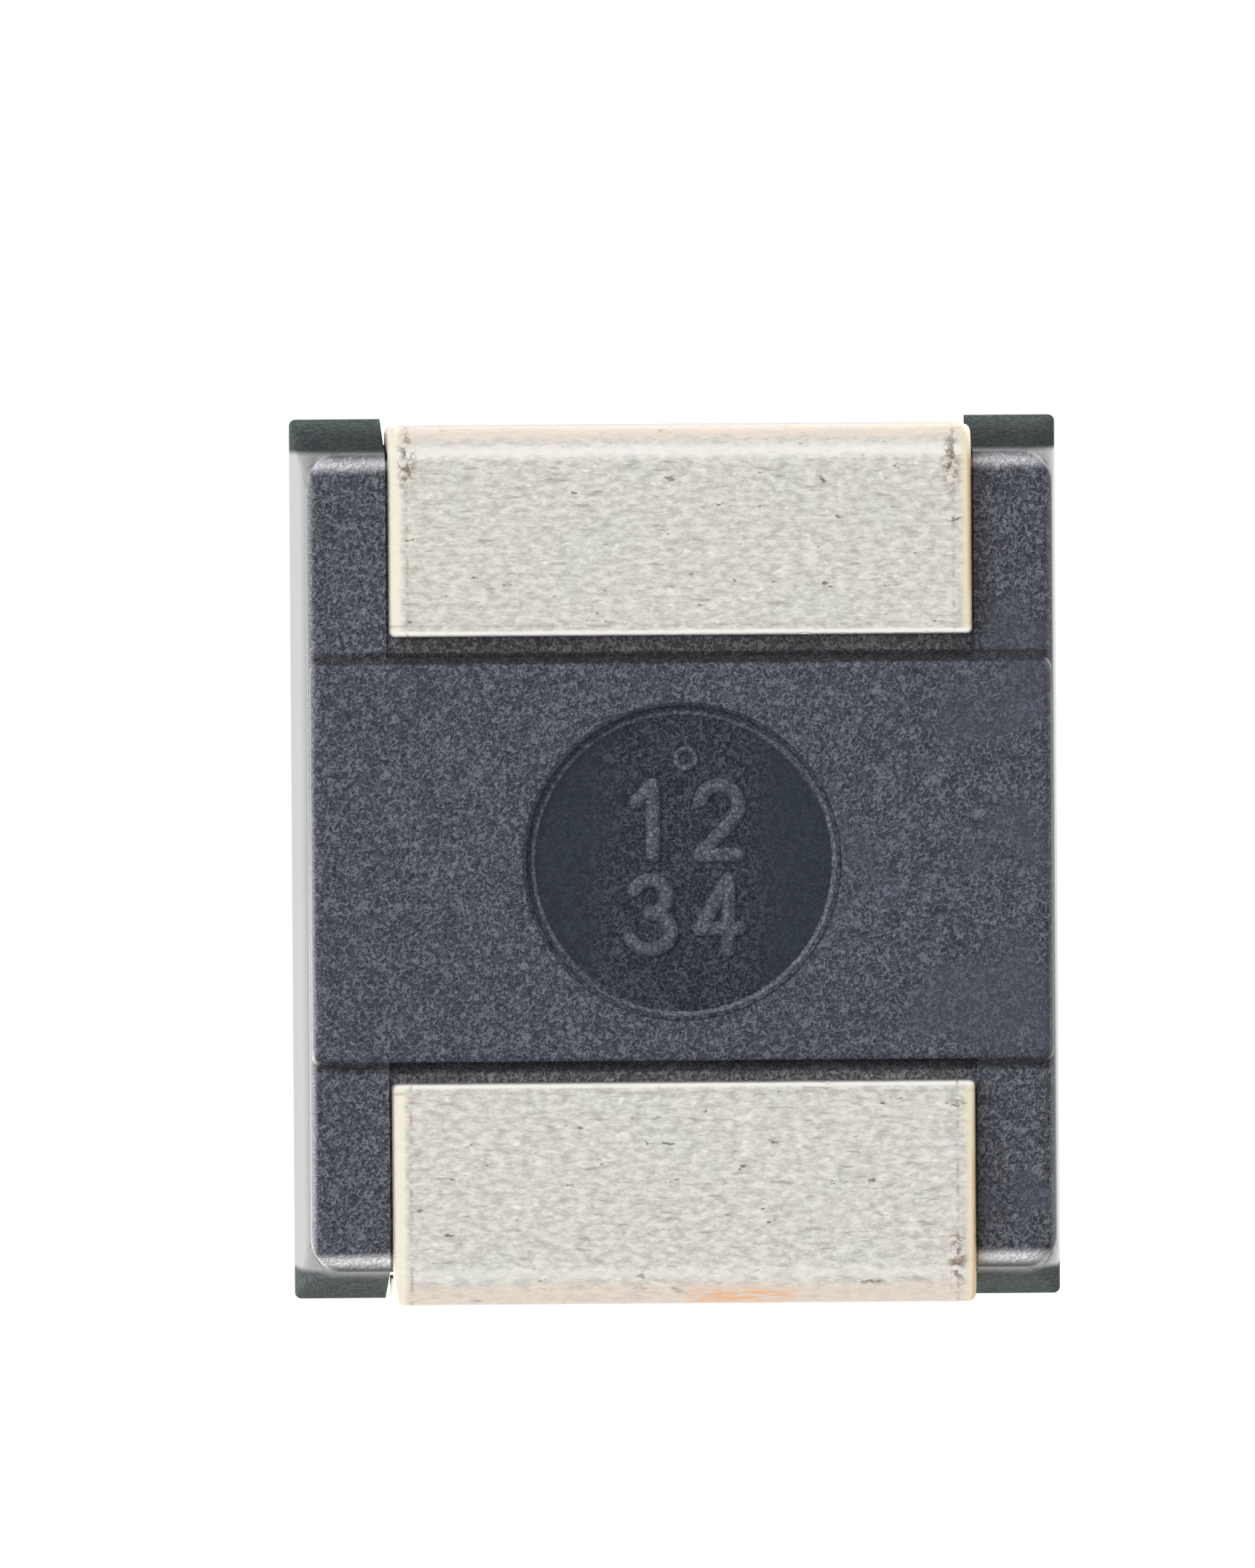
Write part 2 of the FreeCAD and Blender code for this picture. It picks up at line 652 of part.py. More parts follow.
# What the moulding surrounds is cut out of it, so that it fits every inner piece.
case_halves = boolean("Fuse", "case_halves", make_lower_half(), make_upper_half())
enclosed = doc.addObject("Part::MultiFuse", "enclosed")
enclosed.Shapes = [
    polymer_block,
    silver_block,
    washer_disc,
    anode_wire,
    silver_adhesive,
    wire_weld,
    anode_terminal,
    cathode_terminal,
    polarity_mark,
]
doc.recompute()
moulded_case = boolean("Cut", "moulded_case", case_halves, enclosed)

PIECES = {
    "moulded_case": moulded_case,
    "anode_terminal": anode_terminal,
    "cathode_terminal": cathode_terminal,
    "polarity_mark": polarity_mark,
    "tantalum_pellet": tantalum_pellet,
    "anode_wire": anode_wire,
    "insulating_washer": insulating_washer,
    "polymer_layer": polymer_layer,
    "carbon_layer": carbon_layer,
    "silver_layer": silver_layer,
    "silver_adhesive": silver_adhesive,
    "wire_weld": wire_weld,
}
for name, piece in PIECES.items():
    piece.Label = name
doc.recompute()

for item in doc.Objects:
    if "Invalid" in item.State or "Error" in item.State:
        raise RuntimeError(f"{item.Label} could not be built: {item.State}")
for name, piece in PIECES.items():
    if piece.Shape.isNull() or not piece.Shape.isValid():
        raise RuntimeError(f"{name} has no valid shape")
    if len(piece.Shape.Solids) != 1:
        raise RuntimeError(f"{name} has {len(piece.Shape.Solids)} solids")

os.makedirs("parts", exist_ok=True)
for name, piece in PIECES.items():
    piece.Shape.exportStep(f"parts/{name}.step")
    box = piece.Shape.BoundBox
    extent = f"{box.XLength:.3f} x {box.YLength:.3f} x {box.ZLength:.3f} mm"
    print(f"{name}: {extent}, {piece.Shape.Volume:.4f} mm3")
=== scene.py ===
# %% [markdown]
# A moulded tantalum chip capacitor, 3.4 mm long, looked at from its solder side.
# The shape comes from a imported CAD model, which is loaded as a fixed frame: black
# moulding, two folded terminals, a polarity bar and the parts sealed inside. What is
# left for Blender is how each surface looks, and a few forms too small for the CAD.
# The starting scene is emptied first, so that only the chip is measured.

import json
import math

import bmesh
import bpy
from mathutils import Matrix, Vector

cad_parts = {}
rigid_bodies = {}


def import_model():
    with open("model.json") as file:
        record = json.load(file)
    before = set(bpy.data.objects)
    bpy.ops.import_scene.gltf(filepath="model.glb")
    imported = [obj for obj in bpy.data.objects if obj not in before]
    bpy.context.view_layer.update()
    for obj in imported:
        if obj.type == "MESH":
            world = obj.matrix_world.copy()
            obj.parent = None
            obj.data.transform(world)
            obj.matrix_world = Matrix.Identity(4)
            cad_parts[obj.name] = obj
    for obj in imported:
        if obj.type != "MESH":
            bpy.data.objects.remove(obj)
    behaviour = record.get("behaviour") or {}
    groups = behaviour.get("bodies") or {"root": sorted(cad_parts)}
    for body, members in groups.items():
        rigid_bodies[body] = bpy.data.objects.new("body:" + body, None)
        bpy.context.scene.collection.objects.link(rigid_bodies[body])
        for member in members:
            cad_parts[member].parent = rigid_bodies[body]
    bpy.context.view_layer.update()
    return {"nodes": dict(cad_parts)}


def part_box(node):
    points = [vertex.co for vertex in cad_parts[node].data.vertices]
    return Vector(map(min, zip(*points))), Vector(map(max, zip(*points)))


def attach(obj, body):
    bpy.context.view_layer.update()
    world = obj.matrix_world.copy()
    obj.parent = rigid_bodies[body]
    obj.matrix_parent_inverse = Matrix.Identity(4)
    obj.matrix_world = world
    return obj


MM = 0.001

for leftover in list(bpy.data.objects):
    bpy.data.objects.remove(leftover)

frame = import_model()
nodes = frame["nodes"]


# %% [markdown]
# Finishes are node trees. Wiring them by hand hides the sums, so one small class
# wraps a node's output and turns Python arithmetic into Math nodes: 1 - mask works,
# because the reflected forms are there too. Vectors go through Vector Math and
# colours through Mix, since a Math node would turn a colour grey.

# %% Sums on node outputs
class Signal:
    """One output of a node, which can be used in sums."""

    def __init__(self, board, socket):
        self.board = board
        self.socket = socket

    def combine(self, operation, first, second):
        kind = "ShaderNodeVectorMath" if self.socket.type == "VECTOR" else "ShaderNodeMath"
        return self.board.add(kind, {"operation": operation}, {0: first, 1: second})

    def __add__(self, other):
        return self.combine("ADD", self, other)

    def __radd__(self, other):
        return self.combine("ADD", other, self)

    def __sub__(self, other):
        return self.combine("SUBTRACT", self, other)

    def __rsub__(self, other):
        return self.combine("SUBTRACT", other, self)

    def __mul__(self, other):
        return self.combine("MULTIPLY", self, other)

    def __rmul__(self, other):
        return self.combine("MULTIPLY", other, self)

    def __abs__(self):
        return self.combine("ABSOLUTE", self, 0.0)


# %% [markdown]
# A board is the node tree of one material or of the world. Its add method makes any
# node: the type, the settings, which are set first, and what goes into the sockets,
# a number, a colour or another signal. The helpers after it name what the finishes
# use again and again: a soft step between two levels, a mix of two colours, colours
# laid over one another, a noise of a given grain, and a distance.

# %% Node boards
class Board:
    """A node tree that is being drawn."""

    def __init__(self, tree):
        self.tree = tree

    def add(self, kind, settings=None, sockets=None, output=0):
        node = self.tree.nodes.new(kind)
        for name, setting in (settings or {}).items():
            setattr(node, name, setting)
        for key, given in (sockets or {}).items():
            self.feed(node.inputs[key], given)
        return Signal(self, node.outputs[output])

    def feed(self, socket, given):
        if isinstance(given, Signal):
            self.tree.links.new(given.socket, socket)
        elif socket.type == "RGBA" and len(given) == 3:
            socket.default_value = (*given, 1.0)
        else:
            socket.default_value = given

    def step(self, signal, start, end):
        """0 at start and 1 at end, with a soft change; the end may be the lower one."""
        sockets = {"Value": signal, "From Min": start, "From Max": end}
        if start > end:
            sockets.update({"From Min": end, "From Max": start, "To Min": 1.0, "To Max": 0.0})
        return self.add("ShaderNodeMapRange", {"interpolation_type": "SMOOTHSTEP"}, sockets)

    def band(self, signal, low, high, soft):
        """1 between low and high and 0 outside, with each edge soft both ways."""
        return self.step(signal, low - soft, low + soft) * self.step(signal, high + soft, high - soft)

    def mix(self, share, first, second):
        """The first colour where share is 0 and the second where it is 1."""
        return self.add("ShaderNodeMix", {"data_type": "RGBA"}, {0: share, 6: first, 7: second}, 2)

    def layered(self, colour, layers):
        """Lay more colours over the first, each with a share of its own."""
        for share, upper in layers:
            colour = self.mix(share, colour, upper)
        return colour

    def noise(self, place, scale, detail=2.0, roughness=0.5, distortion=0.0):
        """A cloudy noise: the larger the scale, the finer it is."""
        amounts = {"Scale": scale, "Detail": detail, "Roughness": roughness, "Distortion": distortion}
        return self.add("ShaderNodeTexNoise", {}, {"Vector": place, **amounts})

    def length(self, vector):
        return self.add("ShaderNodeVectorMath", {"operation": "LENGTH"}, {0: vector}, "Value")

    def larger(self, first, second):
        return self.add("ShaderNodeMath", {"operation": "MAXIMUM"}, {0: first, 1: second})


# %% [markdown]
# Every finish here is laid out in millimetres on the object itself, so that a mark
# stays where it is from any side. The object coordinates of a frame node are metres
# from the chip's origin, and a thousand times that is millimetres. What is the same
# all over goes straight onto the shader's own sockets.

# %% A material with its place in millimetres
class Finish(Board):
    """A material on the standard shader, which knows the surface's place and slope."""

    def __init__(self, name, **constants):
        self.material = bpy.data.materials.new(name)
        self.material.use_nodes = True
        super().__init__(self.material.node_tree)
        self.shader = next(n for n in self.tree.nodes if n.type == "BSDF_PRINCIPLED")
        self.paint(**constants)
        thousand = (1 / MM, 1 / MM, 1 / MM)
        self.place = self.add("ShaderNodeTexCoord", {}, {}, "Object") * thousand
        self.x, self.y, self.z = self.parts(self.place)
        self.upward = self.parts(self.add("ShaderNodeTexCoord", {}, {}, "Normal"))[2]

    def parts(self, vector):
        node = self.add("ShaderNodeSeparateXYZ", {}, {0: vector}).socket.node
        return [Signal(self, output) for output in node.outputs]

    def paint(self, **inputs):
        """Feed numbers, colours or signals to the shader's sockets, by name."""
        for key, given in inputs.items():
            self.feed(self.shader.inputs[key.replace("_", " ")], given)

    def relief(self, height, depth):
        """Turn a height from 0 to 1 into relief that is depth millimetres high."""
        sockets = {"Height": height, "Distance": depth * MM, "Strength": 1.0}
        self.paint(Normal=self.add("ShaderNodeBump", {}, sockets))


def dress(piece, finish):
    """Give a piece its finish, as its only material."""
    piece.data.materials.clear()
    piece.data.materials.append(finish.material)


# %% [markdown]
# The camera stands far below the board, since the photograph shows the solder side
# and the chip's terminals are down in its own frame. From 150 mm away, with a long
# lens, the deeper parts look almost as large as the near ones. It stands a little
# towards the cathode and to the left, so the upper end wall and the left side wall
# just show. The chip isn't in the middle of the picture: the camera aims beside it
# instead of shifting the lens.

# %% The camera
PICTURE_WIDTH, PICTURE_HEIGHT = 1725, 2156
CHIP_RIGHT, CHIP_DOWN = 938.0, 1185.0
PIXELS_PER_MM = 358.0
DISTANCE = 150.0
NEAREST, FARTHEST = 0.1, 3
TILT_TO_CATHODE = math.radians(1.0)
TILT_TO_LEFT = math.radians(1.5)
ROLL = math.radians(-0.4)

camera_data = bpy.data.cameras.new("camera")
camera = bpy.data.objects.new("camera", camera_data)
bpy.context.scene.collection.objects.link(camera)
bpy.context.scene.camera = camera
camera_data.lens = camera_data.sensor_width * DISTANCE * PIXELS_PER_MM / PICTURE_HEIGHT
camera_data.clip_start = NEAREST * DISTANCE * MM
camera_data.clip_end = FARTHEST * DISTANCE * MM

to_camera = Vector((math.tan(TILT_TO_CATHODE), -math.tan(TILT_TO_LEFT), -1)).normalized()
picture_up = (Vector((1, 0, 0)) - to_camera * to_camera.x).normalized()
picture_up.rotate(Matrix.Rotation(ROLL, 3, to_camera))
picture_right = picture_up.cross(to_camera)
right_shift = (PICTURE_WIDTH / 2 - CHIP_RIGHT) / PIXELS_PER_MM
up_shift = (CHIP_DOWN - PICTURE_HEIGHT / 2) / PIXELS_PER_MM
aim = picture_right * right_shift * MM + picture_up * up_shift * MM
columns = Matrix((picture_right, picture_up, to_camera)).transposed().to_4x4()
camera.matrix_world = Matrix.Translation(aim + to_camera * DISTANCE * MM) @ columns
print("lens:", round(camera_data.lens, 1), "mm, aim in mm:", [round(v / MM, 3) for v in aim])

# %% [markdown]
# The world is a plain pale surround, like a white studio tent. It lights matt surfaces
# evenly at a low level, so that the lamps can shape them. In reflections it is brighter,
# because the tin and the moulding's shiny walls mirror the tent itself, and to the
# camera it is white, directly and through anything clear.

# %% The surround
SURROUND_LEVEL = 0.42
MIRRORED_LEVEL = 0.96

world = bpy.data.worlds.new("surround")
bpy.context.scene.world = world
world.use_nodes = True
surround = Board(world.node_tree)
seen_directly = surround.add("ShaderNodeLightPath", {}, {}, "Is Camera Ray")
seen_through = surround.add("ShaderNodeLightPath", {}, {}, "Is Transmission Ray")
mirrored = surround.add("ShaderNodeLightPath", {}, {}, "Is Glossy Ray")
background = next(n for n in world.node_tree.nodes if n.type == "BACKGROUND")
background.inputs["Color"].default_value = (1.0, 1.0, 1.0, 1.0)
shown = surround.larger(seen_directly, seen_through)
level = mirrored * (MIRRORED_LEVEL - SURROUND_LEVEL) + SURROUND_LEVEL
surround.feed(background.inputs["Strength"], surround.larger(shown, level))
bpy.context.scene.view_settings.view_transform = "Standard"
print("surround nodes:", len(world.node_tree.nodes))

# %% [markdown]
# Soft lamps give the relief its light and shade. One stands below and lights the
# solder side from the picture's upper left, as the recess shows: dark wall at the
# upper left, bright wall at the lower right. It is kept out of reflections, or it would
# glow in the tin in low views. Two stand above for every other view. A lamp's level is
# how bright it makes white paper at the chip. White paper sends out light / pi, and a
# lamp of power P, seen from far off, gives P / (pi x distance squared) of light.

# %% The lamps
LAMP_DISTANCE = 60.0


def soft_lamp(name, direction, size, level, reflected=True):
    """A square lamp that looks at the chip and lights it with the given level."""
    data = bpy.data.lights.new(name, "AREA")
    data.size = size * MM
    data.energy = level * math.pi * math.pi * (LAMP_DISTANCE * MM) ** 2
    lamp = bpy.data.objects.new(name, data)
    way = Vector(direction).normalized()
    lamp.location = way * LAMP_DISTANCE * MM
    lamp.rotation_euler = way.to_track_quat("Z", "Y").to_euler()
    lamp.visible_camera = False
    lamp.visible_glossy = reflected
    bpy.context.scene.collection.objects.link(lamp)
    print(name, "power:", round(data.energy, 4), "W")


soft_lamp("lamp_below", (1.0, -1.0, -1.3), size=50.0, level=1.0, reflected=False)
soft_lamp("lamp_above_left", (-0.5, -0.8, 1.0), size=40.0, level=0.35)
soft_lamp("lamp_above_right", (0.7, 0.5, 0.9), size=40.0, level=0.2)

# %% [markdown]
# The pieces made here all enter the scene in the same way, so a helper links each of
# them and prints what came of it.

# %% New pieces
def enter(name, mesh):
    """Make an object of a mesh and link it into the scene."""
    piece = bpy.data.objects.new(name, mesh)
    bpy.context.scene.collection.objects.link(piece)
    print(name, "faces:", len(mesh.polygons))
    return piece


# %% [markdown]
# The chip stands on a pale floor at the solder plane, a plain disc far wider than the
# chip. The camera looks through that plane from below, so the floor is kept out of
# shadows and reflections: it neither blocks the lamp below nor shades the solder side.

# %% The floor's shape
FLOOR_RADIUS = 60.0
FLOOR_SIDES = 96

floor_mesh = bpy.data.meshes.new("floor")
disc = bmesh.new()
bmesh.ops.create_circle(disc, cap_ends=True, segments=FLOOR_SIDES, radius=FLOOR_RADIUS * MM)
for face in disc.faces:
    if face.normal.z < 0:
        face.normal_flip()
disc.to_mesh(floor_mesh)
disc.free()
floor = enter("floor", floor_mesh)
floor.visible_shadow = False
floor.visible_diffuse = False
floor.visible_glossy = False
floor.visible_transmission = False

# %% [markdown]
# The floor's paper is one-way. Seen from its back it is clear. Seen from above it is
# an ordinary pale floor that takes the chip's shadow and fades out with distance.

# %% The floor's finish
FADE_START, FADE_END = 6.0, 40.0
PAPER_COLOUR = (0.86, 0.86, 0.86)

ground = Finish("floor_paper", Base_Color=PAPER_COLOUR, Roughness=0.9, Specular_IOR_Level=0.1)
gone = ground.step(ground.length(ground.place), FADE_START, FADE_END)
from_behind = ground.add("ShaderNodeNewGeometry", {}, {}, "Backfacing")
clear = ground.add("ShaderNodeBsdfTransparent")
paper = Signal(ground, ground.shader.outputs[0])
one_way = ground.add("ShaderNodeMixShader", {}, {0: ground.larger(gone, from_behind), 1: paper, 2: clear})
surface = next(n for n in ground.tree.nodes if n.type == "OUTPUT_MATERIAL").inputs["Surface"]
ground.feed(surface, one_way)
floor_mesh.materials.append(ground.material)
print("floor nodes:", len(ground.tree.nodes))

# %% [markdown]
# Most marks on the chip sit where one of its pieces ends, so their places are worked
# out from the pieces' boxes. The lowest face of the moulding is its raised land, and
# the anode's strip leaves the moulding with its upper face at the parting line. What
# no box holds is written down here: the level of the sole beside the land, and the
# round recess in the land, with its radius at the land's face and at the floor.

# %% Places on the moulding
case_low, case_high = [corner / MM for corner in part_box("moulded_case")]
strip_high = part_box("anode_terminal")[1] / MM
half_length = case_high.x
half_width = case_high.y
land_level = case_low.z
parting_level = strip_high.z
strip_half_width = strip_high.y

SOLE_LEVEL = 0.09
RECESS_RADIUS = 0.60
RECESS_FOOT = 0.58
print("half length and width in mm:", round(half_length, 4), round(half_width, 4))
print("land and parting line at:", round(land_level, 4), round(parting_level, 4))

# %% [markdown]
# The moulding is a filled epoxy. One finish covers the whole case, with a mask for
# each region of it: 1 inside and 0 outside, with a soft edge. Place tells the recess
# from the land, and the slope of the surface tells a wall from the sole. The recess
# wall is steep too, so the walls are looked for outside the recess only.

# %% The moulding's regions
EPOXY_SPECULAR = 0.12
EPOXY_COAT_ROUGHNESS = 0.12

moulding = Finish(
    "moulded_epoxy", Specular_IOR_Level=EPOXY_SPECULAR, Coat_Roughness=EPOXY_COAT_ROUGHNESS
)
from_middle = moulding.length(moulding.place * (1, 1, 0))
cathode_side = moulding.step(moulding.x, -0.5, 0.5)
downward = moulding.step(moulding.upward, -0.5, -0.85)
on_top = moulding.step(moulding.upward, 0.6, 0.9)
low_down = moulding.step(moulding.z, SOLE_LEVEL + 0.07, SOLE_LEVEL + 0.03)
upper_half = moulding.step(moulding.z, parting_level - 0.005, parting_level + 0.005)

steep = moulding.step(abs(moulding.upward), 0.62, 0.36)
wall = steep * moulding.step(from_middle, RECESS_RADIUS + 0.05, RECESS_RADIUS + 0.15)
at_end = moulding.step(abs(moulding.x), half_length - 0.140, half_length - 0.112)
side_wall = wall * (1 - at_end)
end_wall = wall * at_end

in_recess = moulding.step(from_middle, RECESS_FOOT + 0.012, RECESS_FOOT - 0.004) * downward
on_land = moulding.step(moulding.z, SOLE_LEVEL - 0.005, SOLE_LEVEL - 0.035)
on_land = on_land * downward * (1 - in_recess)
between_feet = moulding.step(abs(moulding.y), strip_half_width + 0.04, strip_half_width - 0.06)
print("moulding regions, nodes so far:", len(moulding.tree.nodes))

# %% [markdown]
# The land has a sloped flank at each end, and a trench lies between the flank and
# the foot. Both are measured from the middle of the chip outwards.

# %% The land's flanks and the trenches
FLANK_START, FLANK_END, FLANK_SOFT = 0.762, 0.808, 0.007
TRENCH_START, TRENCH_END, TRENCH_SOFT = 0.795, 0.900, 0.006

on_flank = moulding.band(abs(moulding.x), FLANK_START, FLANK_END, FLANK_SOFT) * low_down
in_trench = moulding.band(abs(moulding.x), TRENCH_START, TRENCH_END, TRENCH_SOFT)
in_trench = in_trench * downward * between_feet
print("flank:", FLANK_START, "to", FLANK_END, "trench:", TRENCH_START, "to", TRENCH_END)

# %% [markdown]
# The mould was spark-eroded, which leaves a fine grain of short worms and dots on the
# solder side. The worms are the places where a noise comes close to its middle level,
# which makes thin curls instead of spots. The grain is weaker on the side walls, on
# the top, at the two sides of the recess floor and in smooth patches of the right
# half, where the mould has worn.

# %% The moulding's grain
WORM_SHARE, DOT_SHARE = 0.30, 0.70
MIDDLE_LEVEL = 0.5

swirl = moulding.noise(moulding.place, 38.0, 1.0, 0.5, 1.0)
worms = moulding.step(abs(swirl - MIDDLE_LEVEL), 0.12, 0.0)
dots = moulding.noise(moulding.place, 70.0, 2.0, 0.6, 0.6)
broad = moulding.noise(moulding.place, 2.2, 3.0, 0.55)
grain = worms * WORM_SHARE + dots * DOT_SHARE
grain_mask = moulding.step(grain, 0.16, 0.86)
smooth = moulding.step(broad, 0.50, 0.58) * moulding.step(moulding.y, 0.2, 0.9) * downward
calm_floor = in_recess * moulding.step(abs(moulding.y) + broad * 0.3, 0.36, 0.56)
grain_share = 1 - smooth * 0.5 - in_recess * 0.2 - calm_floor * 0.5 - on_top * 0.75 - side_wall * 0.6
print("grain nodes so far:", len(moulding.tree.nodes))

# %% [markdown]
# Each region has a dark colour in the pits of the grain and a light one on its tips.
# The colours are then laid over one another, starting from the sole. The lower end
# walls grow pale towards the parting line, and the land's flanks are dark, as they
# lie in their own shade. The trench is painted paler and browner than the sole:
# painted light, lifting the shade that falls into it between the foot and the land.

# %% The moulding's colours
PIT_AND_TIP = {
    "sole": ((0.027, 0.030, 0.039), (0.222, 0.230, 0.270)),
    "land": ((0.028, 0.032, 0.043), (0.197, 0.212, 0.256)),
    "smooth": ((0.060, 0.064, 0.082), (0.112, 0.120, 0.152)),
    "recess": ((0.008, 0.011, 0.018), (0.094, 0.106, 0.130)),
    "calm_floor": ((0.022, 0.028, 0.039), (0.044, 0.053, 0.068)),
    # trench: painted light, paler and browner than the sole where shade falls
    "trench": ((0.044, 0.040, 0.044), (0.290, 0.276, 0.300)),
    "cathode_end": ((0.006, 0.009, 0.010), (0.074, 0.090, 0.092)),
    "anode_end": ((0.050, 0.063, 0.065), (0.290, 0.325, 0.330)),
    "near_parting": ((0.045, 0.062, 0.060), (0.230, 0.285, 0.275)),
    "side_wall": ((0.040, 0.038, 0.038), (0.075, 0.070, 0.070)),
    # painted highlight on the rounded edges at the cathode's end
    "highlit": ((0.46, 0.46, 0.50), (0.74, 0.75, 0.80)),
    "ring": ((0.070, 0.080, 0.096), (0.300, 0.330, 0.380)),
}
FLANK_COLOUR = (0.016, 0.014, 0.016)

shade = {region: moulding.mix(grain_mask, pit, tip) for region, (pit, tip) in PIT_AND_TIP.items()}
top_colour = moulding.mix(broad, (0.040, 0.040, 0.043), (0.050, 0.049, 0.053))
flank_share = between_feet * 0.15 + cathode_side * 0.15 + 0.42
to_parting = moulding.step(moulding.z, parting_level - 0.60, parting_level + 0.10) * (1 - upper_half)
end_colour = moulding.mix(cathode_side, shade["anode_end"], shade["cathode_end"])
colour = moulding.layered(shade["sole"], [
    (on_land, shade["land"]),
    (smooth * 0.8, shade["smooth"]),
    (in_recess, moulding.mix(calm_floor, shade["recess"], shade["calm_floor"])),
    # painted light in the trench between the foot and the land
    (in_trench, shade["trench"]),
    (on_flank * flank_share, FLANK_COLOUR),
    (end_wall, moulding.mix(to_parting * 0.75, end_colour, shade["near_parting"])),
    (side_wall, shade["side_wall"]),
    (on_top, top_colour),
])
print("moulding colours:", len(PIT_AND_TIP))

# %% [markdown]
# The recess has a pale line at its foot, a painted highlight, and a dark one round it,
# a painted shade. They are drawn as thin rings about its middle, and each is stronger
# on one side, because the light comes from one side: the painted highlight is bright on
# the lit half, and on the shaded half a fainter one lies a little further in.

# %% Painted highlight and shade rings round the recess
RING_SOFT = 0.004
SHADE_RING_COLOUR = (0.018, 0.023, 0.033)


def ring(inner, outer, soft=RING_SOFT):
    """A ring about the middle of the recess, on the solder side only."""
    return moulding.band(from_middle, inner, outer, soft) * low_down


lit_side = moulding.step(moulding.y - moulding.x, -0.5, 0.5)
recess_wall = ring(RECESS_FOOT - 0.003, RECESS_RADIUS, 0.003)
foot_highlight = ring(RECESS_FOOT - 0.014, RECESS_FOOT) * (1 - lit_side)
highlight_ring = ring(RECESS_FOOT - 0.002, RECESS_FOOT + 0.013)
shade_ring = ring(RECESS_RADIUS - 0.001, RECESS_RADIUS + 0.013)
# painted highlight rings and a painted shade ring round the recess
colour = moulding.layered(colour, [
    (recess_wall * 0.8, shade["recess"]),
    (foot_highlight * 0.7, shade["ring"]),
    (highlight_ring * (lit_side * 0.6 + 0.25), shade["ring"]),
    (shade_ring * (0.8 - lit_side * 0.3), SHADE_RING_COLOUR),
])
print("rings between", RECESS_FOOT, "and", RECESS_RADIUS)

# %% [markdown]
# The rounded edge of the solder side gets a pale painted highlight, where it catches
# the light. The highlight is a band beside each edge, kept to surfaces that lean or lie
# low, so that it doesn't climb the walls. It is strongest at the anode's end, where it
# also fades up the end wall, and on the left it is stronger than on the right.

# %% Painted highlights on the edges
ANODE_HIGHLIGHT_COLOUR = (0.92, 0.92, 0.94)

at_sole = moulding.step(moulding.z, SOLE_LEVEL + 0.10, SOLE_LEVEL + 0.06)
leaning = moulding.band(moulding.upward, -1.05, -0.11, 0.06) * at_sole
below_edge = moulding.step(moulding.z, SOLE_LEVEL + 0.045, SOLE_LEVEL + 0.025)
end_reach = abs(moulding.x) + broad * 0.02
end_highlight = moulding.band(end_reach, half_length - 0.178, half_length - 0.138, 0.022) * leaning
side_reach = abs(moulding.y) + broad * 0.01
side_highlight = moulding.band(side_reach, half_width - 0.060, half_width - 0.004, 0.013)
side_highlight = side_highlight * moulding.larger(leaning, below_edge)
side_share = moulding.step(moulding.y, 0.5, -0.5) * 0.22 + 0.3
# the anode's end wall is painted pale near its foot: a painted highlight
anode_wall_highlight = moulding.step(moulding.z, 0.42, 0.14) * end_wall * (1 - cathode_side) * 0.6
highlit = moulding.larger(moulding.larger(end_highlight, anode_wall_highlight), side_highlight * side_share)
highlight_colour = moulding.mix(cathode_side, ANODE_HIGHLIGHT_COLOUR, shade["highlit"])
colour = moulding.mix(highlit, colour, highlight_colour)
print("nodes with the rubbed edges:", len(moulding.tree.nodes))

# %% [markdown]
# The side walls and the upper end walls shine at a low angle, as if they had a thin
# clear coat, and the top shines a little. The lower end walls and the solder side
# stay matt. The coat's weight is a mask like the others.

# %% The moulding's shine and relief
EPOXY_ROUGHNESS = 0.62
TOP_ROUGHNESS = 0.48
TOP_COAT = 0.25
EPOXY_RELIEF = 0.012

rising = moulding.step(moulding.z, 0.05, 0.62)
wall_coat = moulding.larger(side_wall * (rising * 0.4 + 0.6), end_wall * upper_half)
smoother_top = on_top * (EPOXY_ROUGHNESS - TOP_ROUGHNESS)
moulding.paint(
    Base_Color=colour,
    Roughness=EPOXY_ROUGHNESS - smoother_top - in_recess * 0.1 + end_wall * 0.3,
    Coat_Weight=moulding.larger(wall_coat, on_top * TOP_COAT),
)
moulding.relief(grain * grain_share, EPOXY_RELIEF)
dress(nodes["moulded_case"], moulding)
print("moulding nodes:", len(moulding.tree.nodes))

# %% [markdown]
# The terminals are one strip each, tin plated before it was stamped. The tin is
# matt, with fine streaks across the chip from rolling, small pits and dark dashes.
# A metal with streaked noise for colour, roughness and relief gives all of it. The
# place is squeezed across the chip before it goes into the noise, which draws the
# pattern out into streaks.

# %% The strip's surface
tin = Finish("tinned_strip", Metallic=1.0)


def streaked(squeeze, scale, detail, roughness, distortion=0.0):
    """A noise that is drawn out across the chip, more so for a small squeeze."""
    return tin.noise(tin.place * (1.0, squeeze, 1.0), scale, detail, roughness, distortion)


streaks = streaked(0.45, 42.0, 4.0, 0.70, 0.2)
thin_streaks = streaked(0.14, 80.0, 2.0, 0.6)
mottle = streaked(0.6, 24.0, 3.0, 0.6)
cloud = tin.noise(tin.place, 1.6, 2.0, 0.5)
patches = tin.noise(tin.place, 3.0, 3.0, 0.6, 0.5)
pits = tin.step(streaked(0.4, 20.0, 3.0, 0.7), 0.350, 0.295)
specks = tin.step(streaked(0.5, 30.0, 2.0, 0.6), 0.62, 0.74)
dashes = tin.step(streaked(0.16, 44.0, 2.0, 0.6), 0.39, 0.30)
print("tin nodes so far:", len(tin.tree.nodes))

# %% [markdown]
# Tin isn't one colour: large patches lean to a cool or a warm grey, and each of them
# has dark and light streaks. Over these come the smaller marks, from the broad ones
# to the pits.

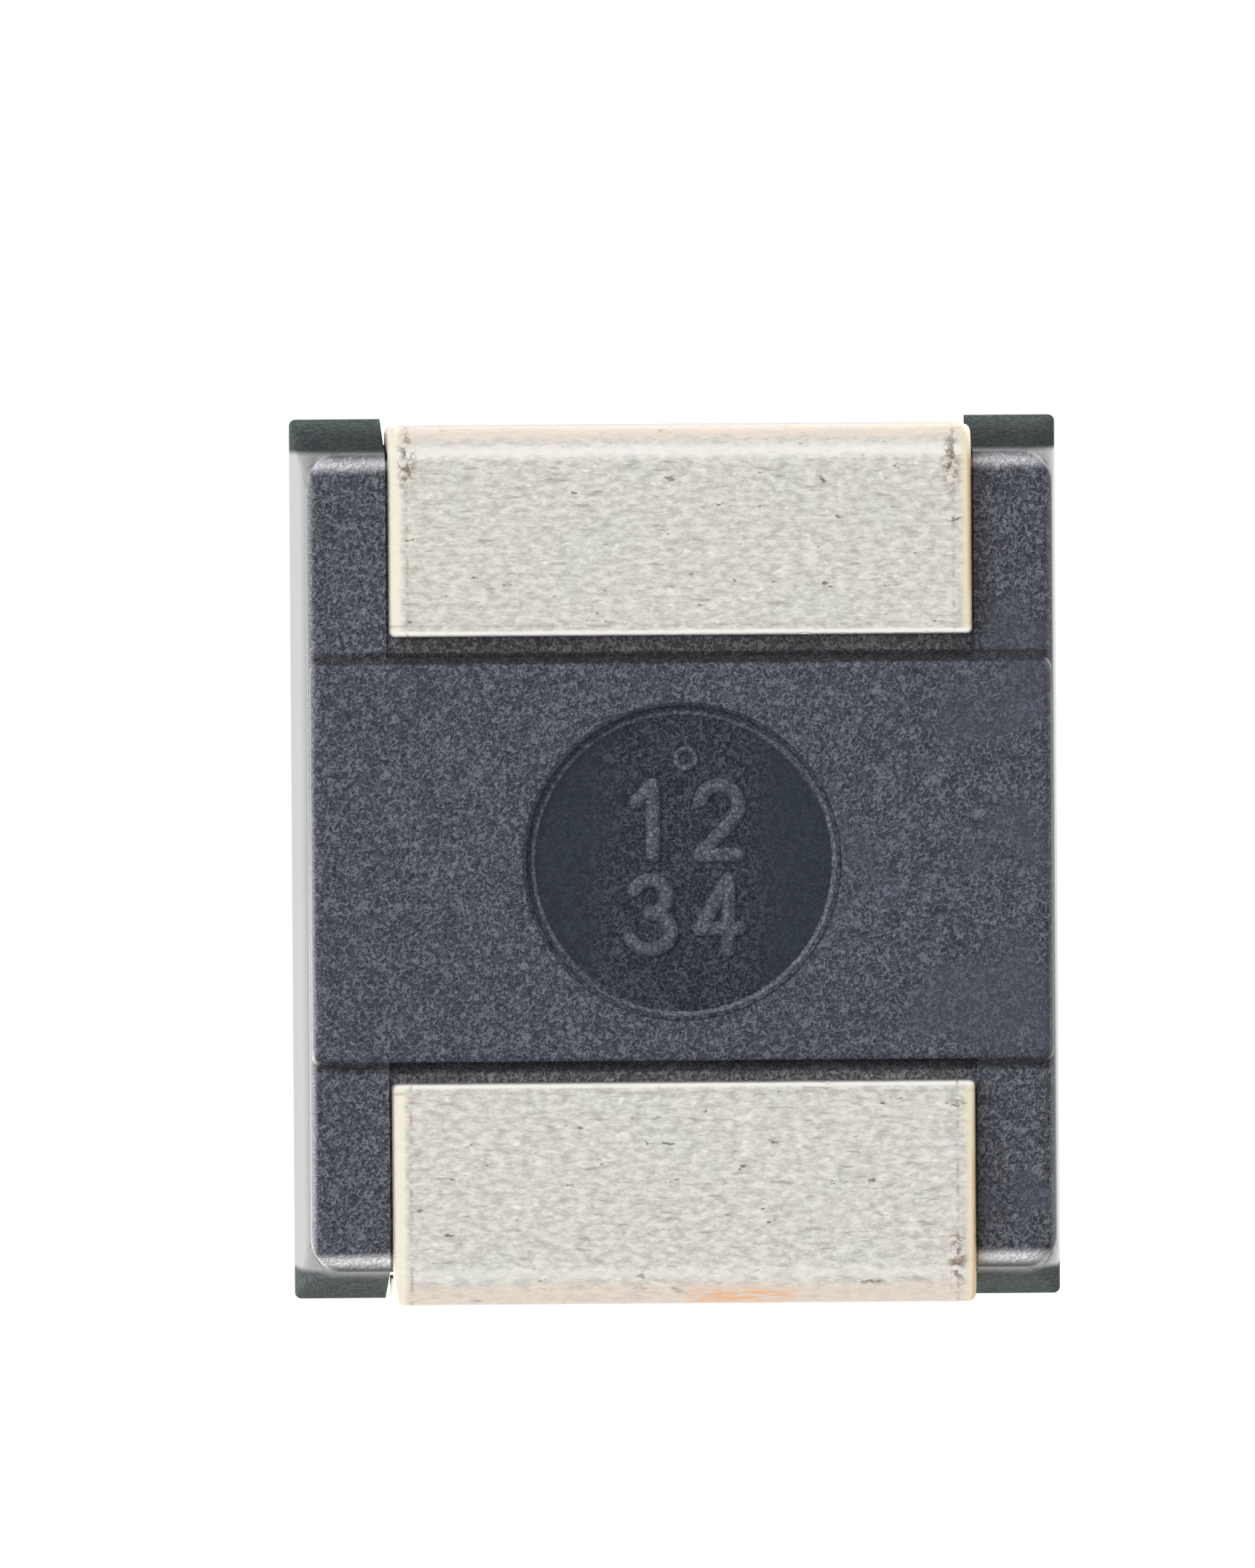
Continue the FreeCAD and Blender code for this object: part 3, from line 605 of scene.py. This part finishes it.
# %% The tin's colours
streak_mask = tin.step(streaks, 0.3, 0.7)
cool = tin.mix(streak_mask, (0.545, 0.540, 0.495), (0.850, 0.845, 0.775))
warm = tin.mix(streak_mask, (0.565, 0.535, 0.490), (0.875, 0.835, 0.770))
warm_share = tin.step(cloud * 0.4 + patches * 0.6, 0.40, 0.60)
tin_colour = tin.layered(tin.mix(warm_share, cool, warm), [
    (tin.step(patches, 0.46, 0.36) * 0.12, (0.60, 0.63, 0.62)),
    (tin.step(mottle, 0.42, 0.30) * 0.4, (0.40, 0.38, 0.34)),
    (tin.step(thin_streaks, 0.58, 0.74) * 0.35, (0.96, 0.95, 0.89)),
    (specks * 0.6, (1.0, 0.99, 0.95)),
    (dashes * 0.5, (0.34, 0.32, 0.28)),
    (pits * 0.75, (0.20, 0.18, 0.16)),
])
print("tin nodes with its colours:", len(tin.tree.nodes))

# %% [markdown]
# The lower fold of each strip is where the plating was stretched. Along the foot's
# outer end, where the fold catches the light, a painted highlight is laid into the
# colour, stronger at the cathode, and above that the tin is warmer. At the anode's fold
# the copper shows through as a short orange streak, right of the middle, with a ragged
# outline from the same noises.

# %% The folds
FOLD_HIGHLIGHT_COLOUR = (1.0, 0.97, 0.93)
ANODE_FOLD_COLOUR = (0.78, 0.70, 0.63)
CATHODE_FOLD_COLOUR = (0.93, 0.86, 0.78)
FOLD_STREAK_COLOUR = (0.90, 0.75, 0.63)
COPPER_COLOUR = (0.93, 0.52, 0.27)
COPPER_START, COPPER_END = 0.12, 0.50

at_cathode = tin.step(tin.x, -0.5, 0.5)
at_fold = tin.step(abs(tin.x), half_length - 0.10, half_length - 0.055) * tin.step(tin.z, 0.30, 0.12)
fold_highlight = tin.band(abs(tin.x) + streaks * 0.02, half_length - 0.135, half_length - 0.088, 0.02)
fold_highlight = fold_highlight * tin.step(tin.z, 0.1, 0.03)
copper_length = tin.band(tin.y + patches * 0.2, COPPER_START, COPPER_END, 0.07)
copper_height = tin.step(tin.z + mottle * 0.12, 0.22, 0.10)
copper_grain = tin.step(thin_streaks * 0.6 + streaks * 0.4, 0.45, 0.53)
at_anode_face = tin.step(tin.x, 0.075 - half_length, 0.04 - half_length)
tin_colour = tin.layered(tin_colour, [
    # painted highlight along the foot's outer end
    (fold_highlight * (at_cathode * 0.4 + 0.35), FOLD_HIGHLIGHT_COLOUR),
    (at_fold * 0.55, tin.mix(at_cathode, ANODE_FOLD_COLOUR, CATHODE_FOLD_COLOUR)),
    (at_fold * tin.step(streaks, 0.3, 0.6) * 0.5, FOLD_STREAK_COLOUR),
    (copper_length * at_anode_face * copper_height * copper_grain * 0.95, COPPER_COLOUR),
])
print("copper from", COPPER_START, "to", COPPER_END, "mm across")

# %% [markdown]
# Stamping rolls the strip's long edges over, which leaves a yellowish border, painted
# bright as a highlight where the round edge catches the light. On the right edge the
# painted highlight is duller, and that edge has turned brown in places. The foot's
# inner end has a painted highlight on its lip, with a broken dark line beside it. Both
# feet are tested at once: the distance is taken from the point midway between their
# inner ends. The anode's foot ends where its box does, while the cathode's box also
# holds a tab inside.

# %% Edges and lips of the feet
LEFT_EDGE_HIGHLIGHT = (0.98, 0.93, 0.79)
RIGHT_EDGE_HIGHLIGHT = (0.88, 0.80, 0.60)
OLD_TIN_COLOUR = (0.62, 0.40, 0.17)
LIP_HIGHLIGHT_COLOUR = (1.0, 0.98, 0.94)
BESIDE_LIP_COLOUR = (0.36, 0.32, 0.28)
CATHODE_FOOT_END = 0.87

at_right = tin.step(tin.y, -0.5, 0.5)
across = abs(tin.y) + mottle * 0.02 - at_right * 0.012
rolled_edge_highlight = tin.step(across, strip_half_width - 0.054, strip_half_width - 0.026)
rolled_edge_highlight = rolled_edge_highlight * tin.step(tin.z, 0.9, 0.7)
old_tin = tin.step(tin.y, strip_half_width - 0.024, strip_half_width - 0.008)
old_tin = old_tin * tin.step(cloud, 0.40, 0.55)

lip_middle = (CATHODE_FOOT_END + strip_high.x) / 2
lip_reach = (CATHODE_FOOT_END - strip_high.x) / 2
from_lip = abs(tin.x - lip_middle) - lip_reach
on_foot = tin.step(tin.z, 0.2, 0.15)
lip_highlight = tin.step(from_lip + mottle * 0.012, 0.034, 0.020) * on_foot
beside_lip = tin.band(from_lip + mottle * 0.02, 0.046, 0.056, 0.006) * tin.step(mottle, 0.42, 0.58)
tin_colour = tin.layered(tin_colour, [
    # painted highlights on the rolled edges and on the lips
    (rolled_edge_highlight * 0.85, tin.mix(at_right, LEFT_EDGE_HIGHLIGHT, RIGHT_EDGE_HIGHLIGHT)),
    (old_tin * 0.65, OLD_TIN_COLOUR),
    (lip_highlight * 0.9, LIP_HIGHLIGHT_COLOUR),
    (beside_lip * on_foot * 0.45, BESIDE_LIP_COLOUR),
])
print("lips at", round(lip_middle - lip_reach, 4), "and", round(lip_middle + lip_reach, 4), "mm")

# %% [markdown]
# Three corners of the feet carry brown stains, longer along the chip than across.
# Each is a soft oval, broken up by a noise. A broken dark line runs along the inner
# side of each rolled edge. The finish then goes onto both terminals.

# %% Stains, and the terminals' finish
STAINS = [(1.540, -1.050), (1.530, 1.042), (-1.535, 1.045)]
STAIN_SQUEEZE = (0.7, 2.4, 0.0)
STAIN_REACH, STAIN_HEART = 0.12, 0.02
STAIN_COLOUR = (0.20, 0.14, 0.09)
EDGE_LINE_COLOUR = (0.36, 0.29, 0.22)
TIN_RELIEF = 0.004

stained = 0
stain_grain = tin.step(tin.noise(tin.place, 34.0, 2.0, 0.6, 0.5), 0.45, 0.58)
for stain_x, stain_y in STAINS:
    from_stain = tin.length((tin.place - (stain_x, stain_y, 0.0)) * STAIN_SQUEEZE)
    stained = tin.step(from_stain, STAIN_REACH, STAIN_HEART) * stain_grain + stained
edge_line = tin.band(abs(tin.y), strip_half_width - 0.076, strip_half_width - 0.065, 0.005)
edge_line = edge_line * tin.step(mottle, 0.44, 0.60)
tin.paint(
    Base_Color=tin.layered(tin_colour, [
        (stained * 0.8, STAIN_COLOUR),
        (edge_line * 0.5, EDGE_LINE_COLOUR),
    ]),
    Roughness=0.40 + streaks * 0.2 + pits * 0.2,
)
tin_height = streaks * 0.5 + thin_streaks * 0.2 + mottle * 0.3 - pits * 0.4 - dashes * 0.2
tin.relief(tin_height, TIN_RELIEF)
dress(nodes["anode_terminal"], tin)
dress(nodes["cathode_terminal"], tin)
print("tin nodes:", len(tin.tree.nodes))

# %% [markdown]
# The polarity bar is bleached into the top by a beam that sweeps across the chip.
# Each sweep starts and stops a little early or late, which leaves ragged ends. The
# CAD node is a plain field, level with the top. A mask draws the ragged outline
# inside that field, so no shape has to change.

# %% The polarity bar's outline
bar_low, bar_high = [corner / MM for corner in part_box("polarity_mark")]
bar = Finish("bleached_bar", Specular_IOR_Level=EPOXY_SPECULAR, Coat_Roughness=EPOXY_COAT_ROUGHNESS)
sweeps = bar.noise(bar.place * (1.0, 0.0, 0.0), 26.0, 2.0, 0.7)
ragged = bar.noise(bar.place, 22.0, 2.0, 0.6)
fringe = sweeps * 0.07 + ragged * 0.05 - 0.014
bar_middle = (bar_high.x + bar_low.x) / 2
bar_half_length = (bar_high.x - bar_low.x) / 2
within_sides = bar.step(bar_high.y - abs(bar.y) - fringe, -0.006, 0.006)
within_ends = bar.step(bar_half_length - abs(bar.x - bar_middle) - ragged * 0.03, 0.0, 0.012)
inside = within_sides * within_ends
print("bar's middle and half length in mm:", round(bar_middle, 4), round(bar_half_length, 4))

# %% [markdown]
# Inside its outline the bar is a pale blue-grey skin with dark specks. The fringe
# outside it has the colour, the roughness and the coat of the moulding's top.

# %% The polarity bar's finish
FRINGE_COLOUR = (0.045, 0.045, 0.048)
BLEACH_ROUGHNESS = 0.62
BLEACH_RELIEF = 0.003

speckle = bar.noise(bar.place, 26.0, 4.0, 0.72)
pale = bar.mix(bar.step(speckle, 0.35, 0.66), (0.130, 0.170, 0.225), (0.430, 0.510, 0.600))
pale = bar.mix(bar.step(speckle, 0.40, 0.34) * 0.8, pale, (0.05, 0.055, 0.07))
bar.paint(
    Base_Color=bar.mix(inside, FRINGE_COLOUR, pale),
    Roughness=inside * (BLEACH_ROUGHNESS - TOP_ROUGHNESS) + TOP_ROUGHNESS,
    Coat_Weight=(1 - inside) * TOP_COAT,
)
bar.relief(speckle * inside, BLEACH_RELIEF)
dress(nodes["polarity_mark"], bar)
print("bar nodes:", len(bar.tree.nodes))

# %% [markdown]
# The parts sealed inside never show, yet each gets its own finish, so that a cut
# through the chip looks right: porous grey tantalum, drawn wire, waxy white ring,
# blue-black polymer, dull graphite, and silver paint and glue. They share one
# recipe, a colour that varies with a noise of the right grain and a little relief.

# %% Finishes inside
def inner_finish(node_name, slot_name, dark, light, grain_scale, roughness, metallic, depth):
    """Dress an inner part, with a grain between two colours and a relief depth in mm."""
    finish = Finish(slot_name, Metallic=metallic)
    spots = finish.noise(finish.place, grain_scale, 4.0, 0.65)
    finish.paint(
        Base_Color=finish.mix(finish.step(spots, 0.3, 0.7), dark, light),
        Roughness=roughness - 0.1 + spots * 0.2,
    )
    finish.relief(spots, depth)
    dress(nodes[node_name], finish)


INNER = [
    ("tantalum_pellet", "sintered_tantalum", (0.14, 0.14, 0.15), (0.27, 0.27, 0.28), 30, 0.75, 0.6, 0.012),
    ("anode_wire", "tantalum_wire", (0.28, 0.28, 0.30), (0.40, 0.40, 0.42), 60, 0.4, 1.0, 0.002),
    ("insulating_washer", "fluoropolymer", (0.76, 0.76, 0.74), (0.86, 0.86, 0.84), 12, 0.35, 0.0, 0.001),
    ("polymer_layer", "cathode_polymer", (0.020, 0.024, 0.045), (0.040, 0.046, 0.075), 20, 0.5, 0.0, 0.004),
    ("carbon_layer", "graphite", (0.030, 0.030, 0.030), (0.060, 0.060, 0.060), 26, 0.8, 0.0, 0.005),
    ("silver_layer", "silver_paint", (0.50, 0.50, 0.48), (0.70, 0.70, 0.68), 24, 0.5, 0.7, 0.005),
    ("silver_adhesive", "silver_glue", (0.42, 0.42, 0.40), (0.58, 0.58, 0.56), 22, 0.6, 0.6, 0.006),
    ("wire_weld", "weld_metal", (0.30, 0.28, 0.26), (0.50, 0.48, 0.46), 18, 0.35, 1.0, 0.003),
]
for row in INNER:
    inner_finish(*row)
print("inner finishes:", len(INNER))

# %% [markdown]
# In the recess the mould leaves a cavity number and a small ringed pip. A number like
# this is drawn in the mould by a ball cutter, so each stroke of its plain digits is a
# round ridge of one width with round ends. Each digit is a list of strokes in a box
# that is 1 wide and 1 high, and a stroke ends wherever the digit has a sharp corner.

# %% Strokes of the digits
ARC_PARTS = 14


def arc(middle, radii, start, end):
    """Points on an oval from one angle to another, in degrees."""
    points = []
    for number in range(ARC_PARTS + 1):
        angle = math.radians(start + (end - start) * number / ARC_PARTS)
        points.append((middle[0] + radii[0] * math.cos(angle), middle[1] + radii[1] * math.sin(angle)))
    return points


STROKES = {
    "1": [[(0.12, 0.76), (0.55, 1.0)], [(0.55, 1.0), (0.55, 0.0)]],
    "2": [arc((0.5, 0.70), (0.5, 0.30), 165, -40) + [(0.0, 0.0)], [(0.0, 0.0), (1.0, 0.0)]],
    "3": [arc((0.46, 0.76), (0.44, 0.24), 155, -90), arc((0.46, 0.26), (0.54, 0.26), 90, -155)],
    "4": [[(0.72, 0.0), (0.72, 1.0)], [(0.72, 1.0), (0.0, 0.30)], [(0.0, 0.30), (1.0, 0.30)]],
}
print("strokes:", {digit: len(strokes) for digit, strokes in STROKES.items()})

# %% [markdown]
# A round bevel on a curve gives a stroke its width. A bevel ends flat, so a few more
# points past each end, ever thinner, round it off. Each of them is given as how far
# past the end it lies and how thick the stroke is there, both in stroke radii.

# %% A stroke with round ends
DIGIT_WIDTH, DIGIT_HEIGHT = 0.150, 0.268
DIGIT_PITCH = 0.262
STROKE_RADIUS = 0.029
BEVEL_RESOLUTION = 4
ROUND_END = [(1.0, 0.05), (0.85, 0.55), (0.5, 0.87)]


def draw_stroke(curve, spots):
    """Add one stroke through the spots, in millimetres, to a curve."""
    before = (spots[0] - spots[1]).normalized() * STROKE_RADIUS
    beyond = (spots[-1] - spots[-2]).normalized() * STROKE_RADIUS
    path = [(spots[0] + before * far, size) for far, size in ROUND_END]
    path += [(spot, 1.0) for spot in spots]
    path += [(spots[-1] + beyond * far, size) for far, size in reversed(ROUND_END)]
    spline = curve.splines.new("POLY")
    spline.points.add(len(path) - 1)
    for point, (spot, size) in zip(spline.points, path):
        point.co = (*(spot * MM), 1.0)
        point.radius = size


print("digits in mm:", DIGIT_WIDTH, "wide", DIGIT_HEIGHT, "high")

# %% [markdown]
# The strokes of one row of digits become a mesh. It is pressed flat and half sunk in
# the recess floor, so that no edge floats. The picture's right is +Y and its top is
# +X, which turns the row to be read from below.

# %% The cavity number
RECESS_FLOOR = 0.085
RIDGE_HEIGHT = 0.017
ROW_MIDDLE = 0.014
UPPER_ROW, LOWER_ROW = 0.158, -0.206


def ridges(name, text, row):
    """Round ridges on the recess floor that read as digits from below."""
    curve = bpy.data.curves.new(name, "CURVE")
    curve.dimensions = "3D"
    curve.bevel_depth = STROKE_RADIUS * MM
    curve.bevel_resolution = BEVEL_RESOLUTION
    curve.use_fill_caps = True
    low = row - DIGIT_HEIGHT / 2
    for number, digit in enumerate(text):
        left = ROW_MIDDLE + (number - len(text) / 2) * DIGIT_PITCH + (DIGIT_PITCH - DIGIT_WIDTH) / 2
        for stroke in STROKES[digit]:
            places = [(low + up * DIGIT_HEIGHT, left + over * DIGIT_WIDTH, 0) for over, up in stroke]
            draw_stroke(curve, [Vector(place) for place in places])
    drawn = bpy.data.objects.new(name + "_outline", curve)
    bpy.context.scene.collection.objects.link(drawn)
    bpy.context.view_layer.update()
    settled = drawn.evaluated_get(bpy.context.evaluated_depsgraph_get())
    mesh = bpy.data.meshes.new_from_object(settled)
    bpy.data.objects.remove(drawn)
    mesh.name = name
    mesh.transform(Matrix.Diagonal((1.0, 1.0, RIDGE_HEIGHT / STROKE_RADIUS, 1.0)))
    mesh.transform(Matrix.Translation(Vector((0, 0, RECESS_FLOOR)) * MM))
    mesh.shade_smooth()
    mesh.materials.clear()
    return enter(name, mesh)


digits = [
    ridges("cavity_number_upper", "12", UPPER_ROW),
    ridges("cavity_number_lower", "34", LOWER_ROW),
]

# %% [markdown]
# The pip and the rim round the recess are turned forms: a small profile swept round
# an axis. A short helper does that with a ring of points for each step, so that the
# surface stays smooth at any size.

# %% Turned forms
def turned(name, middle, profile, steps):
    """Sweep a closed profile of (radius, level) points round a vertical axis."""
    shape = bmesh.new()
    rings = []
    for step in range(steps):
        angle = 2 * math.pi * step / steps
        way = Vector((math.cos(angle), math.sin(angle), 0))
        spots = [Vector((*middle, level)) + way * radius for radius, level in profile]
        rings.append([shape.verts.new(spot * MM) for spot in spots])
    count = len(profile)
    for step in range(steps):
        here, after = rings[step], rings[(step + 1) % steps]
        for point in range(count):
            other = (point + 1) % count
            shape.faces.new((here[point], here[other], after[other], after[point]))
    bmesh.ops.recalc_face_normals(shape, faces=shape.faces)
    for face in shape.faces:
        face.smooth = True
    mesh = bpy.data.meshes.new(name)
    shape.to_mesh(mesh)
    shape.free()
    return enter(name, mesh)


def bead(radius, level, half_width, height, points=12):
    """A closed round section about a radius and a level."""
    turns = [2 * math.pi * number / points for number in range(points)]
    return [(radius + half_width * math.cos(turn), level + height * math.sin(turn)) for turn in turns]


# %% [markdown]
# The pip is a small ring above the number, half sunk in the recess floor. The rim is a
# fine burr round the recess, at the level of the land's face.

# %% The pip and the rim
PIP_MIDDLE = (0.395, 0.018)
PIP_RADIUS, PIP_HALF_WIDTH, PIP_HEIGHT = 0.037, 0.012, 0.011
RIM_RADIUS, RIM_HALF_WIDTH, RIM_HEIGHT = RECESS_RADIUS + 0.004, 0.007, 0.004
PIP_STEPS, RIM_STEPS = 40, 160

pip_section = bead(PIP_RADIUS, RECESS_FLOOR, PIP_HALF_WIDTH, PIP_HEIGHT)
rim_section = bead(RIM_RADIUS, land_level, RIM_HALF_WIDTH, RIM_HEIGHT)
pip = turned("mould_pip", PIP_MIDDLE, pip_section, PIP_STEPS)
recess_rim = turned("recess_rim", (0.0, 0.0), rim_section, RIM_STEPS)

# %% [markdown]
# The raised marks are the same epoxy, but their round tops catch more light than the
# floor does, so they get a finish of their own, painted paler than the floor as a
# painted highlight. So does the rim, which is painted paler towards the picture's lower
# right, where the light falls on it.

# %% Finishes of the raised marks
MARK_RELIEF = 0.008
RIM_RELIEF = 0.004

raised_finish = Finish("moulded_marks", Roughness=0.5, Specular_IOR_Level=0.3)
raised_grain = raised_finish.noise(raised_finish.place, 62.0, 3.0, 0.6, 0.8)
raised_grain = raised_finish.step(raised_grain, 0.3, 0.7)
# painted highlight: the marks are painted paler than the recess floor
raised_colour = raised_finish.mix(raised_grain, (0.040, 0.048, 0.061), (0.185, 0.202, 0.232))
raised_finish.paint(Base_Color=raised_colour)
raised_finish.relief(raised_grain, MARK_RELIEF)

rim_finish = Finish("recess_rim_finish", Roughness=0.6, Specular_IOR_Level=EPOXY_SPECULAR)
rim_grain = rim_finish.noise(rim_finish.place, 60.0, 3.0, 0.6)
rim_lit_side = rim_finish.step(rim_finish.y - rim_finish.x, -0.6, 0.6)
# painted light: the rim is paler towards the picture's lower right
rim_lit_colour = rim_finish.mix(rim_lit_side, (0.060, 0.070, 0.094), (0.110, 0.122, 0.150))
rim_share = rim_finish.step(rim_grain, 0.35, 0.7)
rim_finish.paint(Base_Color=rim_finish.mix(rim_share, (0.020, 0.024, 0.034), rim_lit_colour))
rim_finish.relief(rim_grain, RIM_RELIEF)

for piece in (*digits, pip):
    dress(piece, raised_finish)
    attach(piece, "root")
dress(recess_rim, rim_finish)
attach(recess_rim, "root")
print("raised marks:", len(digits) + 2)
